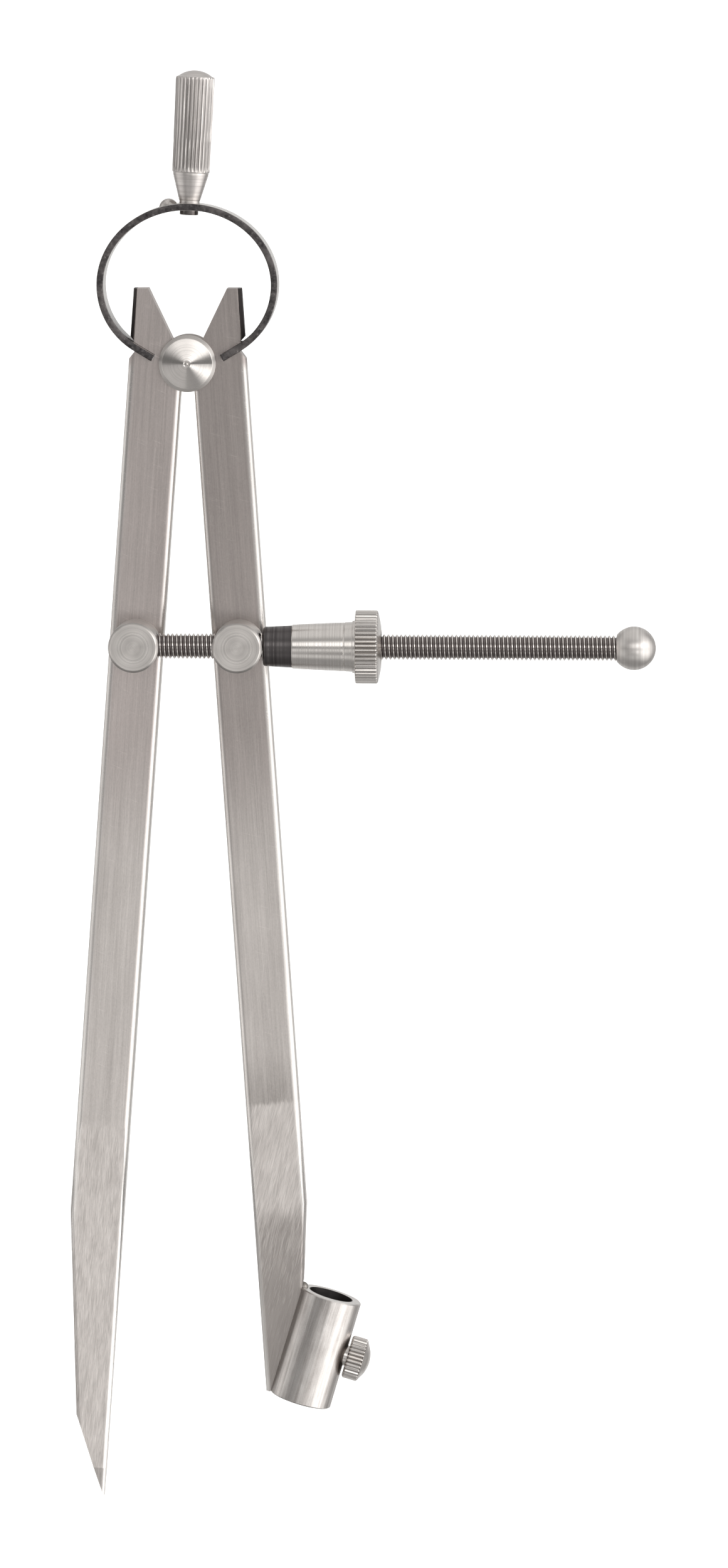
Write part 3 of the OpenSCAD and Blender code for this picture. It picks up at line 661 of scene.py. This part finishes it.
hp = [(0, -0.75), (2.3, -0.75), (2.4, -0.1, 0.05), (2.4, 0.5, 0.1), (2.52, 0.75, 0.1), (4.15, 6.6, 0.2), (4.2, 7.15, 0.05), (4.38, 7.35, 0.05)]
hp = round_profile(hp + [(4.42, 9.0)], 0.1, 3)[:-1]
for i in range(0, 23):
    h = 7.6 + i * (21.4 / 22)
    hp.append((4.42 + 0.16 * i / 22, h))
R = 6.4
zc = H0 + 22.1 + 1.748 - R
hp += [(4.56, H0 + 21.95), (4.5, H0 + 22.15), (4.42, H0 + 22.32)]
for i in range(1, 11):
    r = 4.36 * (1 - i / 10)
    hp.append((r, zc + math.sqrt(R * R - r * r)))
hm = axes(HB, (math.sin(LEAN), 0, math.cos(LEAN)), (1, 0, 0))
handle = lathe("handle_fluted", hp, hm, M["handle"], n=360, mod=handle_mod, smooth=40)
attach(handle, "bow")
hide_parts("handle")

# ------------------------------------------------------------------ clamping screw head
SEAT = 7.5 + 0.4
cp = [(1.83, SEAT + 2.45), (1.83, SEAT + 0.12, 0.02), (1.9, SEAT + 0.005, 0.02), (4.7, SEAT + 0.005, 0.1), (5.12, SEAT + 0.3), (5.2, SEAT + 0.42, 0.05), (5.2, SEAT + 3.55, 0.05), (5.05, SEAT + 3.75), (4.75, SEAT + 3.95, 0.1)]
cp = round_profile(cp, 0.12, 3)
Rc = 7.3
for i in range(1, 11):
    r = 4.6 * (1 - i / 10)
    cp.append((r, SEAT + 3.65 + 1.9 - Rc + math.sqrt(Rc * Rc - r * r)))
cp = [(0, SEAT + 2.46)] + cp
clamp_teeth = tooth(32, 0.36, SEAT + 0.05, SEAT + 3.72)
clamp_head = lathe("clamp_screw_head_knurled", cp, axes(tuple(CL_O), tuple(CL_AX)), M["clamp"], n=256, mod=lambda r, h, a: clamp_teeth(r, h, a) if r > 4 else r, smooth=30)
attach(clamp_head, "clamp_head")
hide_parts("clamp_screw_head")

# ------------------------------------------------------------------ bow spring, a half on each side
BA, BB, BZ, BR, BT = 21.35, 19.2, 18.48, 18.0, 1.6
SL = math.radians(31)


def half_path():
    """(outer point, outward normal) from the strip's end up to the ring's top, right-hand side."""
    c = Vector((BA - BR, BZ))
    a0 = -(math.pi / 2 - SL)
    ae = c + BR * Vector((math.cos(a0), math.sin(a0)))
    n0 = Vector((math.cos(a0), math.sin(a0)))
    d = Vector((math.cos(SL), math.sin(SL)))
    out = []
    for s in (4.6, 3.0, 1.5):
        out.append((ae - d * s, n0))
    for i in range(0, 28):
        t = a0 * (1 - i / 28)
        n = Vector((math.cos(t), math.sin(t)))
        out.append((c + BR * n, n))
    for i in range(0, 57):
        t = math.pi / 2 * i / 56
        p = Vector((BA * math.cos(t), BZ + BB * math.sin(t)))
        n = Vector((math.cos(t) / BA, math.sin(t) / BB)).normalized()
        out.append((p, n))
    return out


def strip(side):
    sec = []                                      # (depth below the outer face, y)
    hy, r, seg = 4.85, 0.22, 4
    for cx, cy, a in ((r, -hy + r, 180), (BT - r, -hy + r, 270), (BT - r, hy - r, 0), (r, hy - r, 90)):
        for k in range(seg + 1):
            t = math.radians(a + 90 * k / seg)
            sec.append((cx + r * math.cos(t), cy + r * math.sin(t)))
    bm = bmesh.new()
    rows = []
    path = half_path()
    for p, n in path:
        row = []
        for d, y in sec:
            q = p - n * d
            row.append(bm.verts.new(P(side * q.x, y, q.y)))
        rows.append(row)
    k = len(sec)
    for A, B in zip(rows[:-1], rows[1:]):
        for j in range(k):
            bm.faces.new((A[j], A[(j + 1) % k], B[(j + 1) % k], B[j]))
    for row in (rows[0], rows[-1]):
        bm.faces.new(row)
    return finish_mesh("bow_spring_" + ("right" if side > 0 else "left"), bm, M["spring"], 50)


for side, leg in ((1, "right_leg"), (-1, "left_leg")):
    ob = strip(side)
    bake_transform(ob)
    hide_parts("bow_spring")

# ------------------------------------------------------------------ floor, world, lights, camera
low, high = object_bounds()
bm = bmesh.new()
bmesh.ops.create_circle(bm, cap_ends=True, segments=64, radius=300)
me = bpy.data.meshes.new("floor")
bm.to_mesh(me); bm.free()
floor = bpy.data.objects.new("floor", me)
bpy.context.scene.collection.objects.link(floor)
floor.location = (0, 0, low[2] - 0.0006)
mt, nt, ns, ln = new_mat("floor_pale")
b = shader(ns, ln, (0.93, 0.93, 0.925), 0.75, metallic=0.0, spec=0.1)
me.materials.append(mt)
floor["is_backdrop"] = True

scene = bpy.context.scene
scene.view_settings.view_transform = "Standard"
scene.view_settings.look = "None"
scene.view_settings.exposure = 0.0
world = bpy.data.worlds.new("studio")
scene.world = world
world.use_nodes = True
ns, ln = world.node_tree.nodes, world.node_tree.links
ns.clear()
tc = ns.new("ShaderNodeTexCoord")
sep = ns.new("ShaderNodeSeparateXYZ")
ln.new(tc.outputs["Generated"], sep.inputs[0])
DEG = 180 / math.pi
az = math_node(ns, ln, "MULTIPLY", math_node(ns, ln, "ARCTAN2", sep.outputs[0], math_node(ns, ln, "MULTIPLY", sep.outputs[1], -1.0)), DEG)
el = math_node(ns, ln, "MULTIPLY", math_node(ns, ln, "ARCSINE", sep.outputs[2]), DEG)


def soft_step(v, a, b):
    n = ns.new("ShaderNodeMapRange")
    n.interpolation_type = "SMOOTHSTEP"
    n.inputs["From Min"].default_value = a
    n.inputs["From Max"].default_value = b
    ln.new(v, n.inputs["Value"])
    return n.outputs["Result"]


def band(v, a, b, c, d):
    """1 between b and c, and fading to 0 at a and d."""
    return math_node(ns, ln, "MULTIPLY", soft_step(v, a, b), soft_step(v, d, c))


def panel(total, strength, e4, a4=None, also=None):
    """Adds a soft panel of light that spans an elevation band and an azimuth band."""
    f = band(el, *e4)
    if a4:
        f = math_node(ns, ln, "MULTIPLY", f, band(az, *a4))
    if also is not None:
        f = math_node(ns, ln, "MULTIPLY", f, also)
    return math_node(ns, ln, "MULTIPLY_ADD", f, strength, total)


aaz = math_node(ns, ln, "ABSOLUTE", az)
L = math_node(ns, ln, "ADD", 0.40, 0.0)
L = panel(L, 0.36, (-75, -45, 30, 60), also=soft_step(aaz, 128, 155))   # pale behind
L = panel(L, 1.55, (3, 11, 20, 33), (-36, -8, 62, 100))           # soft key just over the front
L = panel(L, 1.25, (-62, -30, 30, 62), (36, 60, 88, 124))         # big soft panel on the right
L = panel(L, 0.50, (-45, -20, 25, 50), (-125, -105, -66, -44))    # fill on the left
L = panel(L, 0.57, (-34, -12, -6.5, -3.4), (-42, -10, 45, 75))     # table in front, below the horizon line
L = panel(L, 0.62, (-34, -24, -6.5, -3.4), (9, 22, 70, 95))        # brighter on the right
L = panel(L, 0.12, (-34, -24, -6.5, -3.4), (-120, -90, -60, -36))   # and a little on the left
L = panel(L, 0.45, (-58, -46, -38, -30), (-60, -25, 40, 70))      # lower front strip
L = panel(L, 0.30, (-8, 2, 30, 40), (-12, 8, 60, 80))
L = panel(L, 1.10, (-21, -16, -10, -7), (7, 11, 21, 26))           # small bright card low on the right
shade = math_node(ns, ln, "MULTIPLY", band(el, -6, -3, 5, 9), band(az, 6, 10, 24, 30))
shade = math_node(ns, ln, "MAXIMUM", shade, math_node(ns, ln, "MULTIPLY", band(el, -36, -30, -19, -15), band(az, -8, -3, 11, 16)))
L = math_node(ns, ln, "MULTIPLY", L, math_node(ns, ln, "MULTIPLY_ADD", shade, -0.62, 1.0))
gap = math_node(ns, ln, "MULTIPLY", band(el, -4.0, -2.6, 5, 10), band(az, -84, -62, 26, 46))
L = math_node(ns, ln, "MULTIPLY", L, math_node(ns, ln, "MULTIPLY_ADD", gap, -0.50, 1.0))   # darker gap above the horizon line
L = math_node(ns, ln, "MULTIPLY_ADD", soft_step(el, 36, 60), 0.48, L)                      # soft ceiling
lp = ns.new("ShaderNodeLightPath")
L = math_node(ns, ln, "MAXIMUM", L, math_node(ns, ln, "MULTIPLY", lp.outputs["Is Camera Ray"], 1.25))
bg = ns.new("ShaderNodeBackground")
wo = ns.new("ShaderNodeOutputWorld")
bg.inputs["Color"].default_value = (1.0, 0.995, 0.985, 1)
ln.new(L, bg.inputs["Strength"])
ln.new(bg.outputs[0], wo.inputs["Surface"])


sun = bpy.data.lights.new("floor_light", "SUN")
sun.energy = 2.4
sun.angle = math.radians(60)
sun.use_shadow = False
so = bpy.data.objects.new("floor_light", sun)
scene.collection.objects.link(so)
so.location = (0, 0.5, 2)
so.visible_glossy = False
floor.visible_glossy = False

AZ, EL, DIST = math.radians(2.2), math.radians(6.5), 1.8
T = P(41.68, 0, -99.83)
cam = bpy.data.cameras.new("camera")
cam.sensor_fit = "VERTICAL"
cam.sensor_height = 36.0
cam.lens = 6.718 * 1800 / 2500 * 36.0
cam.clip_start, cam.clip_end = 0.05, 1000
co = bpy.data.objects.new("camera", cam)
scene.collection.objects.link(co)
d = Vector((math.sin(AZ) * math.cos(EL), -math.cos(AZ) * math.cos(EL), math.sin(EL)))
co.location = T + d * DIST
roll = Matrix.Rotation(0.00136, 3, "Z")
co.rotation_euler = ((-d).to_track_quat("-Z", "Y").to_matrix() @ roll).to_euler()
scene.camera = co

low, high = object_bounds()
